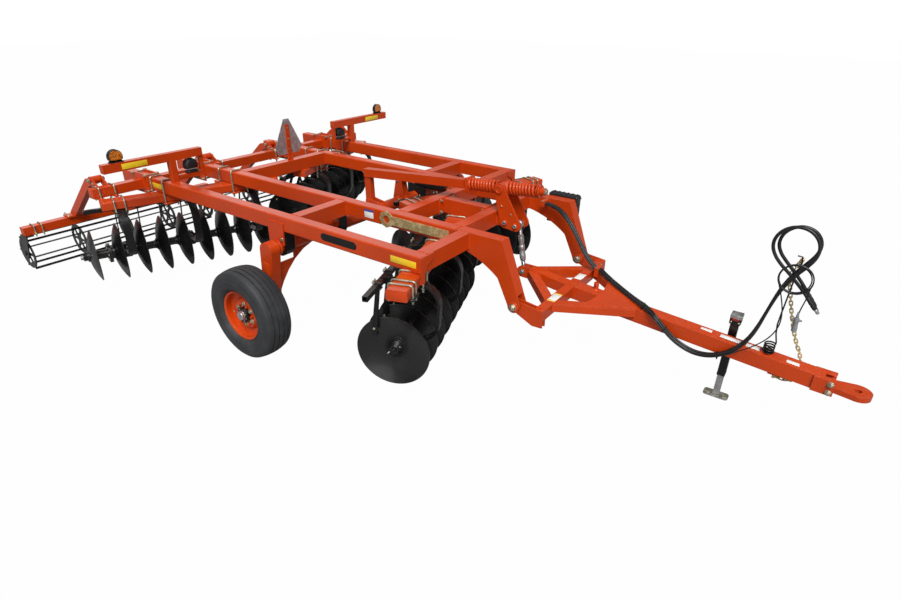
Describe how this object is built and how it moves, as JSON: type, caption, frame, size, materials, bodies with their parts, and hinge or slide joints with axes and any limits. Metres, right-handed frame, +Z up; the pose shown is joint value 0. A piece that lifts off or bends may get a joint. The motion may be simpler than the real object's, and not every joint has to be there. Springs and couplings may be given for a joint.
{
  "type": "towed tandem disc harrow",
  "caption": "Towed tandem disc harrow: tube frame on lift wheels, four angled disc gangs with scrapers, sprung levelling gear, hinged tongue and rear finishing reels.",
  "frame": {"origin": "middle of the outline on the ground, wheels and jack foot standing on it", "axes": "+X forwards to the hitch, +Y to the machine's left, +Z up"},
  "size_m": [7.272, 4.258, 1.571],
  "materials": {
    "amber_lens": "gloss",
    "black_paint": "gloss",
    "black_plastic": "matte",
    "black_rubber": "matte",
    "chrome": "polished",
    "disc_steel": "satin",
    "grey_plastic": "matte",
    "orange_paint": "gloss",
    "sign_face": "satin",
    "tyre": "matte",
    "zinc": "satin"
  },
  "bodies": {
    "frame": {"centre_tube": "orange_paint", "cross_tubes": "orange_paint", "drop_leg_left": "orange_paint", "drop_leg_right": "orange_paint", "front_left_beam": "orange_paint", "front_left_hangers": "black_paint", "front_right_beam": "orange_paint", "front_right_hangers": "black_paint", "gang_wrench": "zinc", "hose_bridge": "black_rubber", "level_tube": "orange_paint", "lift_bearings": "black_paint", "light_brackets": "orange_paint", "manual_box": "black_plastic", "rail_left_inner": "orange_paint", "rail_left_outer": "orange_paint", "rail_right_inner": "orange_paint", "rail_right_outer": "orange_paint", "rear_left_beam": "orange_paint", "rear_left_hangers": "black_paint", "rear_right_beam": "orange_paint", "rear_right_hangers": "black_paint", "rear_toolbar": "orange_paint", "scrapers": "black_paint", "slow_sign": "sign_face", "tail_lamps": "black_plastic", "warning_lamps": "amber_lens"},
    "lift_shaft": {"lift_shaft": "orange_paint"},
    "cylinder_barrel": {"cylinder_barrel": "orange_paint"},
    "cylinder_rod": {"cylinder_rod": "chrome"},
    "level_rod": {"level_rod": "orange_paint", "level_springs": "orange_paint"},
    "rocker": {"rocker": "orange_paint"},
    "turnbuckle": {"turnbuckle": "zinc"},
    "tongue": {"tongue": "orange_paint", "hitch": "orange_paint", "hose_holder": "black_paint", "safety_chain": "zinc", "hose_left": "black_rubber", "hose_right": "black_rubber", "lamp_cable": "black_rubber", "cable_coil": "black_rubber", "couplers": "zinc", "cable_plug": "grey_plastic"},
    "jack_body": {"jack_body": "black_paint"},
    "jack_leg": {"jack_leg": "zinc"},
    "wheel_right": {"tyre_right": "tyre", "rim_right": "orange_paint"},
    "wheel_left": {"tyre_left": "tyre", "rim_left": "orange_paint"},
    "reel_frame_right": {"reel_frame_right": "orange_paint", "reel_hangers_right": "black_paint"},
    "reel_frame_left": {"reel_frame_left": "orange_paint", "reel_hangers_left": "black_paint"},
    "reel_right": {"reel_right": "black_paint"},
    "reel_left": {"reel_left": "black_paint"},
    "front_right_gang": {"front_right_gang": "disc_steel"},
    "front_left_gang": {"front_left_gang": "disc_steel"},
    "rear_right_gang": {"rear_right_gang": "disc_steel"},
    "rear_left_gang": {"rear_left_gang": "disc_steel"}
  },
  "joints": [
    {"name": "lift", "type": "hinge", "parent": "frame", "child": "lift_shaft", "pos_m": [-0.556, 0, 0.87], "axis": [0, 1, 0], "range_deg": [0, 50]},
    {"name": "wheel_right_spin", "type": "hinge", "parent": "lift_shaft", "child": "wheel_right", "pos_m": [-0.606, -1.575, 0.3875], "axis": [0, 1, 0], "continuous": true},
    {"name": "wheel_left_spin", "type": "hinge", "parent": "lift_shaft", "child": "wheel_left", "pos_m": [-0.606, 1.575, 0.3875], "axis": [0, 1, 0], "continuous": true},
    {"name": "cylinder_swing", "type": "hinge", "parent": "frame", "child": "cylinder_barrel", "pos_m": [0.064, 0.33, 1.1], "axis": [0, 1, 0], "range_deg": [-12, 2]},
    {"name": "cylinder_stroke", "type": "slide", "parent": "cylinder_barrel", "child": "cylinder_rod", "axis": [-1, 0, 0], "range_m": [-0.178, 0.01]},
    {"name": "level_rod_swing", "type": "hinge", "parent": "lift_shaft", "child": "level_rod", "pos_m": [-0.671, 0, 0.935], "axis": [0, 1, 0], "range_deg": [-52, 2]},
    {"name": "rocker_swing", "type": "hinge", "parent": "frame", "child": "rocker", "pos_m": [0.894, 0, 1.06], "axis": [0, 1, 0], "range_deg": [-2, 24]},
    {"name": "turnbuckle_swing", "type": "hinge", "parent": "rocker", "child": "turnbuckle", "pos_m": [0.994, 0, 1.05], "axis": [0, 1, 0], "range_deg": [-26, 2]},
    {"name": "tongue_swing", "type": "hinge", "parent": "frame", "child": "tongue", "pos_m": [1.324, 0, 0.64], "axis": [0, 1, 0], "range_deg": [-9, 1], "deforming": ["hose_bridge"]},
    {"name": "jack_swing", "type": "hinge", "parent": "tongue", "child": "jack_body", "pos_m": [2.739, 0.086, 0.43], "axis": [0, 1, 0], "range_deg": [0, 90]},
    {"name": "jack_screw", "type": "slide", "parent": "jack_body", "child": "jack_leg", "axis": [0, 0, 1], "range_m": [0, 0.17]},
    {"name": "front_right_gang_spin", "type": "hinge", "parent": "frame", "child": "front_right_gang", "pos_m": [0.766, -1.382, 0.416], "axis": [-0.342, 0.9397, 0], "continuous": true},
    {"name": "front_left_gang_spin", "type": "hinge", "parent": "frame", "child": "front_left_gang", "pos_m": [0.206, 1.382, 0.416], "axis": [-0.342, -0.9397, 0], "continuous": true},
    {"name": "rear_right_gang_spin", "type": "hinge", "parent": "frame", "child": "rear_right_gang", "pos_m": [-2.656, -1.55, 0.416], "axis": [0.3256, 0.9455, 0], "continuous": true},
    {"name": "rear_left_gang_spin", "type": "hinge", "parent": "frame", "child": "rear_left_gang", "pos_m": [-2.656, 1.55, 0.416], "axis": [0.3256, -0.9455, 0], "continuous": true},
    {"name": "reel_right_float", "type": "hinge", "parent": "frame", "child": "reel_frame_right", "pos_m": [-2.681, -0.43, 1.15], "axis": [0, 1, 0], "range_deg": [0, 18]},
    {"name": "reel_right_spin", "type": "hinge", "parent": "reel_frame_right", "child": "reel_right", "pos_m": [-3.456, -0.08, 0.37], "axis": [0, 1, 0], "continuous": true},
    {"name": "reel_left_float", "type": "hinge", "parent": "frame", "child": "reel_frame_left", "pos_m": [-2.681, 0.43, 1.15], "axis": [0, 1, 0], "range_deg": [0, 18]},
    {"name": "reel_left_spin", "type": "hinge", "parent": "reel_frame_left", "child": "reel_left", "pos_m": [-3.456, 0.08, 0.37], "axis": [0, 1, 0], "continuous": true}
  ],
  "couplings": [
    {"joint": "cylinder_swing", "follows": "lift", "ratio": -0.2098},
    {"joint": "cylinder_stroke", "follows": "lift", "m_per_rad": -0.19326},
    {"joint": "level_rod_swing", "follows": "lift", "ratio": -0.9556},
    {"joint": "rocker_swing", "follows": "lift", "ratio": 0.435},
    {"joint": "turnbuckle_swing", "follows": "lift", "ratio": -0.4688},
    {"joint": "tongue_swing", "follows": "lift", "ratio": -0.1527}
  ]
}
